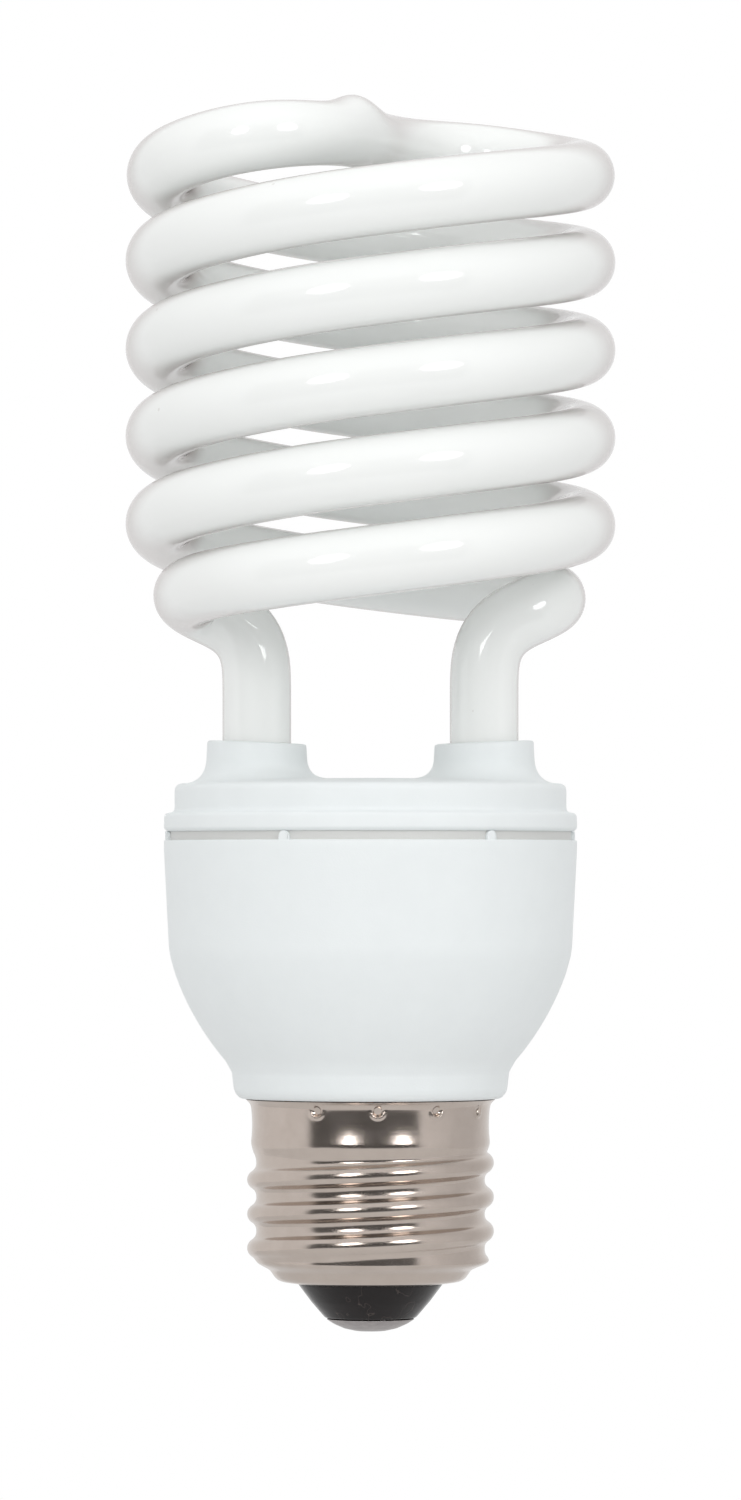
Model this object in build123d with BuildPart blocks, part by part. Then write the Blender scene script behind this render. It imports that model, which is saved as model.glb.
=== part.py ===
from build123d import *
from math import cos, pi, radians, sin, tan
import os

# A compact fluorescent lamp: a two-start glass spiral on a plastic ballast housing with a screw base.
# Millimetres, +Z up. The origin is the tip of the centre contact, on the lamp's axis.
# The legs of the tube stand on the X axis. Seen along +Y the spiral rises from left to right in front.

# Clearances
seat_gap = 0.1          # between pieces that rest against each other
slide_gap = 0.2         # between the tube and the collars that it passes through
lead_gap = 0.1          # between a lead and its hole
part_gap = 0.3          # between the board and a part that hangs under it

# Centre contact and black glass insulator
contact_radius = 4.7
contact_rise = 1.3
contact_flat = 1.0
contact_sheet = 0.5
eyelet_radius = 1.4
eyelet_bore = 0.9
eyelet_height = 6.4
cone_height = 3.75
insulator_cup_height = 2.6

# Screw shell with a rolled round thread
sheet = 0.3
shell_lip_radius = 7.8
shell_bowl_radius = 9.9
shell_bowl_slope = 0.35
shell_bowl_height = 2.15
shell_shoulder_radius = 11.05
shell_fold = 0.35
thread_root_radius = 12.1
thread_crest_radius = 13.1
thread_round = 1.19
thread_pitch = 3.629
thread_length = 11.3
thread_middle = 7.05
thread_turns = 3.25
thread_step_angle = 45.0
skirt_radius = 12.65
skirt_height = 5.3
flare_radius = 13.25
flare_height = 0.8
stake_count = 12
stake_turn = 3.5
stake_radius = 1.1
stake_depth = 0.55
stake_drop = 1.5

# Ballast housing
wall = 1.5
foot_radius = 13.5
band_radius = 14.5
band_height = 3.3
band_round = 0.9
band_corner = 0.5
bowl_radius = 15.0
bowl_height = 12.1
bowl_bulge = 0.6
bowl_blend = 14.0
rim_radius = 21.93
rim_draft = 0.51
housing_wall_height = 12.0
neck_wall = 1.3
neck_length = 14.2
slot_angle = 155.4
slot_width = 1.0
slot_depth = 0.7
slot_height = 5.0
lip_inset = 0.63
lip_wall = 1.1
lip_height = 2.5
nib_count = 6
nib_width = 1.2
nib_turn = 5.5
rib_count = 4
rib_width = 1.2
rib_reach = 3.3
rib_height = 8.0

# Top cap with its two collars
groove_height = 1.1
cap_band_height = 1.5
cap_edge = 0.2
cap_step = 0.6
cap_inset = 1.13
cap_wall_height = 2.2
cap_shoulder = 0.6
cap_crown = 0.6
collar_radius = 5.26
collar_draft = 1.3
collar_height = 4.45
collar_fillet = 2.3
collar_slope = 2.3
socket_wall = 1.0
socket_depth = 5.6
cement_width = 1.1
cement_height = 4.5
post_radius = 1.5
post_place = 12.0

# Glass tube
tube_radius = 3.65
leg_place = 12.07
leg_height = 12.0
elbow_reach = 7.9
elbow_rise = 3.0
elbow_back = 9.6
elbow_turn = 1.2
coil_rise = 5.1
coil_radius = 22.4
coil_pitch = 18.6
coil_steps = 18
coil_step_angle = 45.0
coil_start_angle = 65.0
bridge_rise = 4.9
# Corners from the end of the coil to the bridge: share of the coil's radius, degrees on, share of the rise
bridge_corners = [(1.05, 41.0, 0.42), (0.87, 73.0, 0.87), (0.46, 98.0, 1.0)]
tip_x = -1.9
tip_y = -5.0
tip_rise = 0.75
tip_radius = 1.3
tip_foot_radius = 3.0
tip_foot_drop = 2.4
leg_end_round = 1.0

# Circuit board and leads
board_gap = 0.92
board_thickness = 1.6
board_drop = 4.5
lead_radius = 0.35
lead_stub = 0.6
lead_loop = 1.3
lead_bend = 0.8
solder_radius = 0.9
solder_taper = 35.0
joint_height = 0.5
end_round = 0.25

# Solder in the eyelet
solder_depth = 2.0

# Smoothing capacitor
can_radius = 6.25
can_length = 20.0
can_y = -3.2
can_round = 0.8
can_groove_drop = 2.2
can_groove_round = 0.6
can_groove_out = 0.2
can_lead_spread = 5.0
bung_height = 0.8

# Ballast choke
choke_y = 9.8
choke_core_width = 16.0
choke_core_depth = 5.0
choke_core_height = 13.0
choke_core_gap = 0.4
choke_back = 2.5
choke_leg = 4.0
choke_side_leg = 2.3
bobbin_wall = 0.7
bobbin_rail = 1.4
winding_corner = 1.5

# Drive transformer
ring_x = 11.4
ring_y = -7.2
ring_radius = 4.6
ring_bore = 2.5
ring_height = 4.0
winding_build = 0.6
winding_count = 3
winding_arc = 60.0

# Transistors
transistor_places = [(-9.5, -12.5), (-2.5, -14.2)]
transistor_radius = 2.4
transistor_flat = 1.8
transistor_height = 4.7
transistor_hang = 2.5
leg_pitch = 1.27

# Diodes, diac and resistors
diode_places = [(-10.5, 7.5), (-13.6, 5.4), (-10.5, 11.4), (-13.6, 9.4)]
diode_radius = 1.35
diode_length = 5.2
diode_loop = 2.1
diac_x = 4.2
diac_y = -14.8
diac_loop = 2.2
diac_radius = 0.9
diac_length = 3.8
resistor_places = [(9.2, -15.2, 2.1, 0.8), (-15.2, -9.0, 1.6, -1.4), (17.0, -1.9, -1.9, -0.3)]
resistor_radius = 1.1
resistor_length = 5.0

# Filter choke
drum_x = 12.4
drum_y = 10.3
drum_radius = 3.0
drum_length = 6.0
drum_waist_length = 3.4
drum_waist_radius = 2.4
drum_loop = 3.7

# Dipped capacitors: place, then width, depth and height
resonant_place = (-12.6, -1.0)
resonant_size = (4.0, 9.0, 8.0)
resonant_spread = 7.5
coupling_place = (13.3, 2.5)
coupling_size = (3.6, 6.6, 7.0)
coupling_spread = 5.0
dip_round = 0.8

# Start thermistor
disc_x = -8.4
disc_y = -3.0
disc_radius = 3.0
disc_thickness = 2.2
disc_hang = 0.75

# Fusible resistor, its sleeve and the wires of the base
fuse_y = 6.6
fuse_rise = 8.0
fuse_radius = 1.5
fuse_length = 7.0
sleeve_wall = 0.3
sleeve_overhang = 1.0
wire_bend = 2.0
slot_bend = 0.7
live_drop = 4.6
live_climb = 8.0
live_x = 9.6
live_y = 4.2

# Wrap pins for the tube's leads
pin_x = 16.2
pin_y = 4.6
pin_height = 3.2
tube_lead_spread = 2.4
tube_lead_drop = 1.7
wrap_height = 1.4
wrap_wall = 0.5

# Levels, from the contact upwards
lip_level = contact_rise + cone_height
shoulder_level = lip_level + shell_bowl_height
thread_top = shoulder_level + thread_length
flare_level = thread_top + skirt_height
shell_top = flare_level + flare_height
housing_bottom = shell_top + seat_gap
neck_bottom = housing_bottom - neck_length
band_top = housing_bottom + band_height
bowl_top = band_top + bowl_height
rim_level = bowl_top + housing_wall_height
housing_lip_top = rim_level + lip_height
cap_bottom = rim_level + groove_height
cap_band_top = cap_bottom + cap_band_height
cap_wall_bottom = cap_band_top + cap_step
cap_wall_top = cap_wall_bottom + cap_wall_height
cap_face = cap_wall_top + cap_shoulder
cap_under = cap_face - wall
cap_top = cap_face + cap_crown
collar_top = cap_face + collar_height
socket_bottom = cap_under - socket_depth
leg_bottom = socket_bottom + seat_gap
board_top = rim_level - board_drop
board_bottom = board_top - board_thickness
lead_top = board_top + lead_stub
leg_corner = collar_top + leg_height
coil_bottom = leg_corner + coil_rise
coil_top = coil_bottom + coil_pitch * coil_steps * coil_step_angle / 360
bridge_level = coil_top + bridge_rise
tip_level = bridge_level + tube_radius + tip_rise

# Radii that follow from a neighbour
bowl_top_radius = rim_radius - rim_draft
cap_wall_radius = rim_radius - cap_inset
board_radius = bowl_top_radius - wall - board_gap
neck_radius = thread_root_radius - sheet - part_gap
neck_bore = neck_radius - neck_wall
neck_collar_radius = skirt_radius - sheet - seat_gap
housing_lip_radius = rim_radius - lip_inset
housing_lip_bore = housing_lip_radius - lip_wall


def smooth_route(corners):
    """A smooth line past the corners: an arc turns each one, from half a run before it to as far after."""
    points = [Vector(*corner) for corner in corners]
    shortest_run = 0.001
    with BuildLine() as route:
        here = points[0]
        for before, corner, after in zip(points, points[1:], points[2:]):
            incoming = (corner - before).normalized()
            outgoing = (after - corner).normalized()
            reach = min((corner - before).length, (after - corner).length) / 2
            if (corner - here).length - reach > shortest_run:
                here = Line(here, corner - incoming * reach) @ 1
            here = TangentArc(here, corner + outgoing * reach, tangent=incoming) @ 1
        if (points[-1] - here).length > shortest_run:
            Line(here, points[-1])
    return route.wire()


def round_rod(line, radius):
    """A round rod along a line."""
    with BuildPart() as rod:
        with BuildSketch(Plane(line @ 0, z_dir=line % 0)):
            Circle(radius)
        sweep(path=line)
    return rod.part


def place_at(radius, degrees, level):
    """The point at a radius and an angle about the lamp's axis."""
    return (radius * cos(radians(degrees)), radius * sin(radians(degrees)), level)


def helix_corners(radius, pitch, start_angle, start_level, steps, step_angle):
    """Corners whose arcs touch a helix half a step before and half a step after each of them."""
    corner_radius = radius / cos(radians(step_angle / 2))
    corners = []
    for step in range(steps + 1):
        turned = step * step_angle
        corners.append(place_at(corner_radius, start_angle + turned, start_level + pitch * turned / 360))
    return corners


# Centre contact: a domed disc with the eyelet that rivets it to the insulator
with BuildPart() as centre_contact:
    with BuildSketch(Plane.XZ):
        with BuildLine():
            contact_face = Line((eyelet_bore, 0), (contact_flat, 0))
            contact_dome = TangentArc(contact_face @ 1, (contact_radius, contact_rise), tangent=(1, 0))
            Polyline(
                contact_dome @ 1,
                (contact_radius - contact_sheet, contact_rise),
                (eyelet_radius + contact_sheet, contact_sheet),
                (eyelet_radius, 2 * contact_sheet),
                (eyelet_radius, contact_rise + eyelet_height),
                (eyelet_bore, contact_rise + eyelet_height),
                (eyelet_bore, 0),
            )
        make_face()
    revolve(axis=Axis.Z)
centre_contact.part.label = "centre_contact"

# Solder in the eyelet, level with the tip of the contact
with BuildPart() as contact_solder:
    with BuildSketch():
        Circle(eyelet_bore - seat_gap / 2)
    extrude(amount=solder_depth)
contact_solder.part.label = "contact_solder"

# Black glass insulator: a cone below the shell and a cup inside it, bored for the eyelet
cup_bottom = lip_level + shell_bowl_slope + sheet + seat_gap
with BuildPart() as base_insulator:
    with BuildSketch(Plane.XZ):
        with BuildLine():
            Polyline(
                (eyelet_radius + seat_gap, contact_rise + seat_gap),
                (contact_radius + seat_gap, contact_rise + seat_gap),
                (shell_lip_radius - seat_gap, lip_level),
                (shell_lip_radius - seat_gap, cup_bottom),
                (shell_bowl_radius - sheet - 2 * seat_gap, cup_bottom),
                (shell_shoulder_radius - 2 * sheet - seat_gap, shoulder_level - sheet),
                (shell_shoulder_radius - 2 * sheet - seat_gap, lip_level + insulator_cup_height),
                (eyelet_radius + seat_gap, lip_level + insulator_cup_height),
                (eyelet_radius + seat_gap, contact_rise + seat_gap),
            )
        make_face()
    revolve(axis=Axis.Z)
base_insulator.part.label = "base_insulator"

# Screw shell: one rolled sheet, made as its outer form less its inner form
bead_corners = helix_corners(
    thread_crest_radius - thread_round,
    thread_pitch,
    -thread_turns * 180,
    shoulder_level + thread_middle - thread_pitch * thread_turns / 2,
    round(thread_turns * 360 / thread_step_angle),
    thread_step_angle,
)
sunk_share = (thread_root_radius - sheet - thread_round) / (thread_crest_radius - thread_round)
for end in (0, -1):
    x, y, level = bead_corners[end]
    bead_corners[end] = (x * sunk_share, y * sunk_share, level)
bead_line = smooth_route(bead_corners)
bead = round_rod(bead_line, thread_round)
bead_hollow = round_rod(bead_line, thread_round - sheet)
shell_side = [
    (shell_lip_radius, lip_level),
    (shell_bowl_radius, lip_level + shell_bowl_slope),
    (shell_shoulder_radius, shoulder_level),
    (thread_root_radius, shoulder_level + shell_bowl_slope),
    (thread_root_radius, thread_top),
    (skirt_radius, thread_top + skirt_radius - thread_root_radius),
    (skirt_radius, flare_level),
    (flare_radius, shell_top),
]
stake_level = flare_level - stake_drop + flare_height
stake_place = skirt_radius + stake_radius - stake_depth
stake_angles = [360 * stake / stake_count + stake_turn - 90 for stake in range(stake_count)]
stake_places = [place_at(stake_place, angle, stake_level) for angle in stake_angles]

with BuildPart() as shell_outside:
    with BuildSketch(Plane.XZ):
        with BuildLine():
            side = FilletPolyline(*shell_side, radius=shell_fold)
            Polyline(side @ 1, (0, shell_top), (0, lip_level), side @ 0)
        make_face()
    revolve(axis=Axis.Z)
    add(bead)
    with Locations(*stake_places):
        Sphere(stake_radius, mode=Mode.SUBTRACT)

with BuildPart() as shell_inside:
    with BuildSketch(Plane.XZ):
        with BuildLine():
            side = FilletPolyline(*shell_side, radius=shell_fold)
            inset = offset(side, amount=sheet, side=Side.LEFT, closed=False, mode=Mode.REPLACE)
            Polyline(inset @ 1, (0, (inset @ 1).Y), (0, (inset @ 0).Y), inset @ 0)
        make_face()
    revolve(axis=Axis.Z)
    add(bead_hollow)
    with Locations(*stake_places):
        Sphere(stake_radius + sheet, mode=Mode.SUBTRACT)

with BuildPart() as screw_shell:
    add(shell_outside)
    add(shell_inside, mode=Mode.SUBTRACT)
    with Locations((0, 0, lip_level)):
        Cylinder(shell_lip_radius, shell_bowl_height, mode=Mode.SUBTRACT)
screw_shell.part.label = "screw_shell"

# Ballast housing: a turned cup with a neck that carries the screw shell
neck_shoulder = thread_top + seat_gap
with BuildPart() as ballast_housing:
    with BuildSketch(Plane.XZ) as housing_section:
        with BuildLine():
            Polyline(
                (neck_bore, neck_bottom),
                (neck_radius, neck_bottom),
                (neck_radius, neck_shoulder),
                (neck_collar_radius, neck_shoulder + neck_collar_radius - neck_radius),
                (neck_collar_radius, housing_bottom),
                (foot_radius, housing_bottom),
                (band_radius, housing_bottom + band_round),
                (bowl_radius - band_corner / 2, band_top - band_corner),
                (bowl_radius, band_top),
            )
            bowl_middle = Vector(bowl_radius, band_top) * 0.5 + Vector(bowl_top_radius, bowl_top) * 0.5
            bulge_way = Vector(bowl_height, bowl_radius - bowl_top_radius).normalized()
            bowl = ThreePointArc(
                (bowl_radius, band_top), bowl_middle + bulge_way * bowl_bulge, (bowl_top_radius, bowl_top)
            )
            Polyline(
                bowl @ 1,
                (rim_radius, rim_level),
                (housing_lip_radius, rim_level),
                (housing_lip_radius, housing_lip_top),
                (housing_lip_bore, housing_lip_top),
                (rim_radius - wall, rim_level - wall),
                (bowl_top_radius - wall, bowl_top),
            )
            inner_bowl = ThreePointArc(
                (bowl_top_radius - wall, bowl_top),
                bowl_middle + bulge_way * (bowl_bulge - wall),
                (bowl_radius - wall, band_top + wall / 2),
            )
            Polyline(inner_bowl @ 1, (neck_bore, band_top - wall), (neck_bore, neck_bottom))
        make_face()
        fillet(housing_section.vertices().sort_by_distance((bowl_top_radius, bowl_top))[0], bowl_blend)
    revolve(axis=Axis.Z)
    # Nibs on the rim that leave the dark seam below the cap
    with BuildSketch(Plane.XY.offset(rim_level)):
        with PolarLocations((housing_lip_radius + rim_radius) / 2, nib_count, start_angle=nib_turn):
            Rectangle(rim_radius - housing_lip_radius, nib_width)
    extrude(amount=groove_height)
    # Ribs inside the wall that the board rests on
    with BuildSketch(Plane.XY.offset(board_bottom - seat_gap)):
        with PolarLocations(bowl_top_radius - (wall + rib_reach) / 2, rib_count):
            Rectangle(rib_reach, rib_width)
    extrude(amount=-rib_height)
    # Pockets for the punches of the screw shell
    with Locations(*stake_places):
        Sphere(stake_radius + sheet + seat_gap, mode=Mode.SUBTRACT)
    # Slot outside the neck for the neutral wire
    with Locations(Location(place_at(neck_radius, slot_angle, neck_bottom), (0, 0, slot_angle))):
        Box(
            2 * slot_depth, slot_width, slot_height,
            align=(Align.CENTER, Align.CENTER, Align.MIN), mode=Mode.SUBTRACT,
        )
ballast_housing.part.label = "ballast_housing"

# Top cap: a turned dish with two collars outside, and two cement wells and two board posts inside
with BuildPart() as top_cap:
    with BuildSketch(Plane.XZ):
        with BuildLine():
            # The crown falls as the square of the radius, so by a quarter at half the radius
            crown = ThreePointArc(
                (0, cap_top),
                (cap_wall_radius / 2, cap_top - cap_crown / 4),
                (cap_wall_radius - cap_shoulder, cap_face),
            )
            Polyline(
                crown @ 1,
                (cap_wall_radius, cap_wall_top),
                (cap_wall_radius, cap_wall_bottom + cap_step),
                (rim_radius - cap_step, cap_wall_bottom),
                (rim_radius, cap_band_top),
                (rim_radius, cap_bottom + cap_edge),
                (rim_radius - cap_edge, cap_bottom),
                (housing_lip_radius + seat_gap, cap_bottom),
                (housing_lip_radius + seat_gap, housing_lip_top + seat_gap),
                (cap_wall_radius - wall, housing_lip_top + seat_gap),
                (cap_wall_radius - wall, cap_under),
                (0, cap_under),
                (0, cap_top),
            )
        make_face()
    revolve(axis=Axis.Z)
    with BuildSketch(Plane.XY.offset(cap_under)):
        with Locations((leg_place, 0), (-leg_place, 0)):
            Circle(collar_radius + (collar_top - cap_under) * tan(radians(collar_draft)))
    extrude(amount=collar_top - cap_under + slide_gap, taper=collar_draft)
    feet = [
        edge
        for edge in top_cap.edges()
        if cap_face - seat_gap < edge.bounding_box().min.Z
        and edge.bounding_box().max.Z < cap_top + seat_gap
        and abs(edge.bounding_box().center().X) > leg_place / 2
    ]
    fillet(feet, collar_fillet)
    # The collar tops fall a little towards the axis
    with BuildSketch(Plane.XZ):
        fall = tan(radians(collar_slope))
        Polygon(
            (0, collar_top - leg_place * fall),
            (rim_radius, collar_top + (rim_radius - leg_place) * fall),
            (rim_radius, collar_top + collar_height),
            (0, collar_top + collar_height),
            align=None,
        )
    revolve(axis=Axis.Z, mode=Mode.SUBTRACT)
    with BuildSketch(Plane.XY.offset(cap_under)):
        with Locations((leg_place, 0), (-leg_place, 0)):
            Circle(tube_radius + cement_width + socket_wall)
    extrude(amount=-socket_depth)
    with BuildSketch(Plane.XY.offset(cap_under)):
        with Locations((0, post_place), (0, -post_place)):
            Circle(post_radius)
    extrude(amount=board_top + seat_gap - cap_under)
    with Locations((leg_place, 0, socket_bottom), (-leg_place, 0, socket_bottom)):
        Cylinder(
            tube_radius + slide_gap, collar_top + collar_height - socket_bottom,
            align=(Align.CENTER, Align.CENTER, Align.MIN), mode=Mode.SUBTRACT,
        )
        Cylinder(
            tube_radius + cement_width, cement_height + seat_gap,
            align=(Align.CENTER, Align.CENTER, Align.MIN), mode=Mode.SUBTRACT,
        )
top_cap.part.label = "top_cap"

# Cement that holds the legs of the tube in the wells of the cap
with BuildPart() as tube_cement:
    with BuildSketch(Plane.XY.offset(socket_bottom + seat_gap)):
        with Locations((leg_place, 0), (-leg_place, 0)):
            Circle(tube_radius + cement_width - seat_gap / 2)
            Circle(tube_radius + seat_gap / 2, mode=Mode.SUBTRACT)
    extrude(amount=cement_height - seat_gap)
tube_cement.part.label = "tube_cement"

# Glass tube: up one leg, out through the elbow, round the coil and over the top to the axis,
# then the same way down the other strand, which is the first one turned half round
elbow_level = leg_corner + elbow_rise
coil_end_angle = coil_start_angle + coil_steps * coil_step_angle
strand_corners = [
    (leg_place, 0, leg_bottom),
    (leg_place, 0, leg_corner),
    (leg_place + elbow_reach, 0, elbow_level),
    (leg_place + elbow_reach - elbow_turn, elbow_back, (elbow_level + coil_bottom) / 2),
]
strand_corners += helix_corners(
    coil_radius, coil_pitch, coil_start_angle, coil_bottom, coil_steps, coil_step_angle
)
strand_corners += [
    place_at(coil_radius * radius_share, coil_end_angle + turned, coil_top + bridge_rise * rise_share)
    for radius_share, turned, rise_share in bridge_corners
]
other_strand = [(-x, -y, z) for x, y, z in reversed(strand_corners)]
tube_line = smooth_route(strand_corners + other_strand)
tube_section = pi * tube_radius**2

with BuildPart() as glass_tube:
    add(round_rod(tube_line, tube_radius))
    volume_ratio = glass_tube.part.volume / (tube_section * tube_line.length)
    fillet(glass_tube.edges().group_by(Axis.Z)[0], leg_end_round)
    with BuildSketch(Plane.XZ.offset(-tip_y)):
        with BuildLine():
            tip_dome = TangentArc(
                (tip_x, tip_level), (tip_x + tip_radius, tip_level - tip_radius / 2), tangent=(1, 0)
            )
            Polyline(
                tip_dome @ 1,
                (tip_x + tip_foot_radius, tip_level - tip_foot_drop),
                (tip_x + tip_foot_radius, bridge_level),
                (tip_x, bridge_level),
                (tip_x, tip_level),
            )
        make_face()
    revolve(axis=Axis((tip_x, tip_y, 0), (0, 0, 1)))
glass_tube.part.label = "glass_tube"
print("tube length", round(tube_line.length, 1), "volume over section times length", round(volume_ratio, 4))

# The ballast hangs under a round board. Each part's leads pass through holes and are soldered on top.
lead_places = []


def lead(x, y, low_level):
    """A straight lead from a part up through the board."""
    lead_places.append((x, y))
    return round_rod(smooth_route([(x, y, low_level), (x, y, lead_top)]), lead_radius)


def looped_lead(x, y, away_x, away_y, low_level):
    """A lead that leaves the bottom of a standing part and turns back up to the board beside it."""
    lead_places.append((x + away_x, y + away_y))
    with BuildLine() as route:
        FilletPolyline(
            (x, y, low_level),
            (x, y, low_level - lead_loop),
            (x + away_x, y + away_y, low_level - lead_loop),
            (x + away_x, y + away_y, lead_top),
            radius=lead_bend,
        )
    return round_rod(route.wire(), lead_radius)


def standing_part(x, y, away_x, away_y, radius, length):
    """An axial part that stands on end under the board, as one solid with its two leads."""
    top_level = board_bottom - part_gap
    short_lead = lead(x, y, top_level - seat_gap)
    long_lead = looped_lead(x, y, away_x, away_y, top_level - length + seat_gap)
    with BuildPart() as standing:
        with BuildSketch(Plane.XY.offset(top_level)):
            with Locations((x, y)):
                Circle(radius)
        extrude(amount=-length)
        fillet(standing.edges().filter_by(GeomType.CIRCLE), end_round)
        add(short_lead)
        add(long_lead)
    return standing.part


def box_part(x, y, width, depth, height, lead_spread, corner):
    """A dipped box with two leads, the leads spread along its longer side."""
    top_level = board_bottom - part_gap
    along_x = width > depth
    spread_x = lead_spread / 2 if along_x else 0
    spread_y = 0 if along_x else lead_spread / 2
    leads = [lead(x + side * spread_x, y + side * spread_y, top_level - seat_gap) for side in (-1, 1)]
    with BuildPart() as box:
        with Locations((x, y, top_level)):
            Box(width, depth, height, align=(Align.CENTER, Align.CENTER, Align.MAX))
        fillet(box.edges(), corner)
        add(leads)
    return box.part


# Smoothing capacitor: a can that reaches down towards the neck, with a rolled groove and a bung
can_top = board_bottom - part_gap - bung_height
can_leads = [lead(side * can_lead_spread / 2, can_y, can_top + bung_height / 2) for side in (-1, 1)]
with BuildPart() as smoothing_capacitor:
    with BuildSketch(Plane.XY.offset(can_top)):
        with Locations((0, can_y)):
            Circle(can_radius)
    extrude(amount=-can_length)
    fillet(smoothing_capacitor.edges().filter_by(GeomType.CIRCLE), can_round)
    with Locations((0, can_y, can_top - can_groove_drop)):
        Torus(can_radius + can_groove_out, can_groove_round, mode=Mode.SUBTRACT)
smoothing_capacitor.part.label = "smoothing_capacitor"

with BuildPart() as capacitor_bung:
    with BuildSketch(Plane.XY.offset(can_top)):
        with Locations((0, can_y)):
            Circle(can_radius - can_round)
    extrude(amount=bung_height)
    add(can_leads)
capacitor_bung.part.label = "capacitor_bung"

# Ballast choke: a ferrite core of two halves, a bobbin round its middle leg, and the winding on it
choke_middle = board_bottom - part_gap - choke_core_height / 2
window_height = choke_core_height - 2 * choke_back
window_width = choke_core_width / 2 - choke_leg / 2 - choke_side_leg
window_place = choke_leg / 2 + window_width / 2
with BuildPart() as choke_core:
    with Locations((0, choke_y, choke_middle)):
        Box(choke_core_width, choke_core_depth, choke_core_height)
    with Locations((window_place, choke_y, choke_middle), (-window_place, choke_y, choke_middle)):
        Box(window_width, choke_core_depth, window_height, mode=Mode.SUBTRACT)
    with Locations((0, choke_y, choke_middle)):
        Box(choke_core_width, choke_core_depth, choke_core_gap, mode=Mode.SUBTRACT)
choke_core.part.label = "choke_core"

bobbin_span = 2 * (window_place + window_width / 2 - seat_gap)
bobbin_length = window_height - 2 * seat_gap
with BuildPart() as choke_bobbin:
    with Locations((0, choke_y, choke_middle)):
        Box(choke_leg + 2 * bobbin_wall, choke_core_depth + 2 * bobbin_wall, bobbin_length)
    for side in (-1, 1):
        with Locations((0, choke_y, choke_middle + side * (bobbin_length - bobbin_wall) / 2)):
            Box(bobbin_span, bobbin_span, bobbin_wall)
    for side in (-1, 1):
        with Locations(
            (0, choke_y + side * (bobbin_span - bobbin_rail) / 2, choke_middle + bobbin_length / 2)
        ):
            Box(
                bobbin_span, bobbin_rail, board_bottom - part_gap - choke_middle - bobbin_length / 2,
                align=(Align.CENTER, Align.CENTER, Align.MIN),
            )
    with Locations((0, choke_y, choke_middle)):
        Box(
            choke_leg + 2 * seat_gap, choke_core_depth + 2 * seat_gap, choke_core_height, mode=Mode.SUBTRACT
        )
choke_bobbin.part.label = "choke_bobbin"

winding_span = bobbin_span - bobbin_wall
with BuildPart() as choke_winding:
    with Locations((0, choke_y, choke_middle)):
        Box(winding_span, winding_span, bobbin_length - 2 * bobbin_wall - 2 * seat_gap)
    fillet(choke_winding.edges().filter_by(Axis.Z), winding_corner)
    with Locations((0, choke_y, choke_middle)):
        Box(
            choke_leg + 2 * bobbin_wall + 2 * seat_gap, choke_core_depth + 2 * bobbin_wall + 2 * seat_gap,
            bobbin_length, mode=Mode.SUBTRACT,
        )
choke_winding.part.label = "choke_winding"

pin_reach = (bobbin_span - bobbin_rail) / 2
choke_pin_places = [(x, choke_y + y) for x in (-pin_reach, pin_reach) for y in (-pin_reach, pin_reach)]
choke_pin_rods = [lead(x, y, board_bottom - part_gap) for x, y in choke_pin_places]
with BuildPart() as choke_pins:
    add(choke_pin_rods)
choke_pins.part.label = "choke_pins"

# Drive transformer: a ferrite ring with three short windings
ring_middle = board_bottom - part_gap - ring_height / 2 - winding_build
with BuildPart() as transformer_ring:
    with Locations((ring_x, ring_y, ring_middle)):
        Cylinder(ring_radius, ring_height)
        Cylinder(ring_bore, ring_height, mode=Mode.SUBTRACT)
transformer_ring.part.label = "transformer_ring"

winding_middle = (ring_radius + ring_bore) / 2
winding_leads = []
winding_step = 360 / winding_count
for turn in range(winding_count):
    way = place_at(winding_middle, turn * winding_step + winding_arc / 2, 0)
    winding_leads.append(lead(ring_x + way[0], ring_y + way[1], board_bottom - part_gap - winding_build / 2))
with BuildPart() as transformer_windings:
    with BuildSketch(Plane.XZ.offset(-ring_y)):
        with Locations((ring_x + winding_middle, ring_middle)):
            Rectangle(ring_radius - ring_bore + 2 * winding_build, ring_height + 2 * winding_build)
            Rectangle(
                ring_radius - ring_bore + 2 * seat_gap, ring_height + 2 * seat_gap, mode=Mode.SUBTRACT
            )
    first_winding = revolve(axis=Axis((ring_x, ring_y, 0), (0, 0, 1)), revolution_arc=winding_arc)
    for turn in range(1, winding_count):
        with Locations(Location((ring_x, ring_y, 0), (0, 0, turn * winding_step))):
            add(first_winding.moved(Location((-ring_x, -ring_y, 0))))
    add(winding_leads)
transformer_windings.part.label = "transformer_windings"

# Two switching transistors in small flat-faced cases, three legs each
transistor_legs = [
    lead(x + side * leg_pitch, y, board_bottom - transistor_hang - seat_gap)
    for x, y in transistor_places
    for side in (-1, 0, 1)
]
with BuildPart() as switching_transistors:
    with BuildSketch(Plane.XY.offset(board_bottom - transistor_hang)):
        with Locations(*transistor_places):
            Circle(transistor_radius)
        with Locations(*[(x, y - transistor_radius) for x, y in transistor_places]):
            Rectangle(2 * transistor_radius, transistor_flat, mode=Mode.SUBTRACT)
    extrude(amount=-transistor_height)
    add(transistor_legs)
switching_transistors.part.label = "switching_transistors"

# Small parts that stand on end
diode_parts = [standing_part(x, y, 0, diode_loop, diode_radius, diode_length) for x, y in diode_places]
with BuildPart() as rectifier_diodes:
    add(diode_parts)
rectifier_diodes.part.label = "rectifier_diodes"

diac_part = standing_part(diac_x, diac_y, diac_loop, 0, diac_radius, diac_length)
with BuildPart() as trigger_diac:
    add(diac_part)
trigger_diac.part.label = "trigger_diac"

resistor_parts = [
    standing_part(x, y, away_x, away_y, resistor_radius, resistor_length)
    for x, y, away_x, away_y in resistor_places
]
with BuildPart() as resistors:
    add(resistor_parts)
resistors.part.label = "resistors"

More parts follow.
